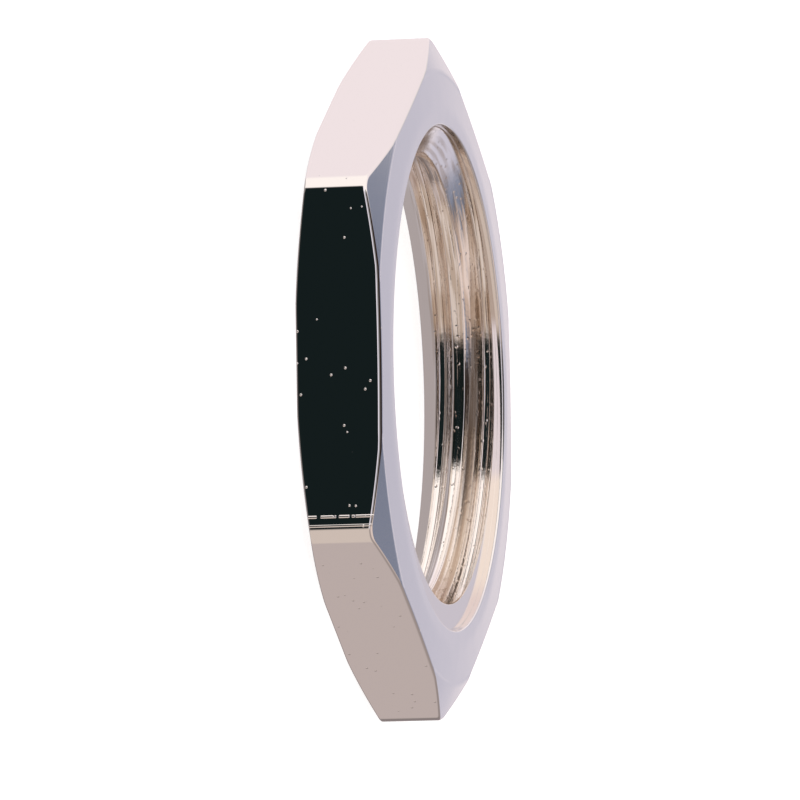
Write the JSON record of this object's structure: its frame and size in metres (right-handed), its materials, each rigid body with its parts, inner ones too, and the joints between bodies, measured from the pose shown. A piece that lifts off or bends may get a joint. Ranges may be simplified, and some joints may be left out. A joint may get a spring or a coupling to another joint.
{
  "type": "cable gland locknut",
  "caption": "Thin hexagonal locknut with a fine metric thread, screwed onto a cable gland to clamp it in an enclosure wall.",
  "frame": {"origin": "centre of the threaded hole on the rear face, which the nut lies on", "axes": "+Z along the hole, towards the front face; +X through a corner of the hexagon; +Y square to two flats"},
  "size_m": [0.0218, 0.019, 0.0028],
  "materials": {
    "nickel_plate": "bright nickel plating over brass, mirror-smooth on the flats, satin with fine turning marks on the faces"
  },
  "bodies": {
    "root": {"locknut": "nickel_plate"}
  },
  "joints": []
}
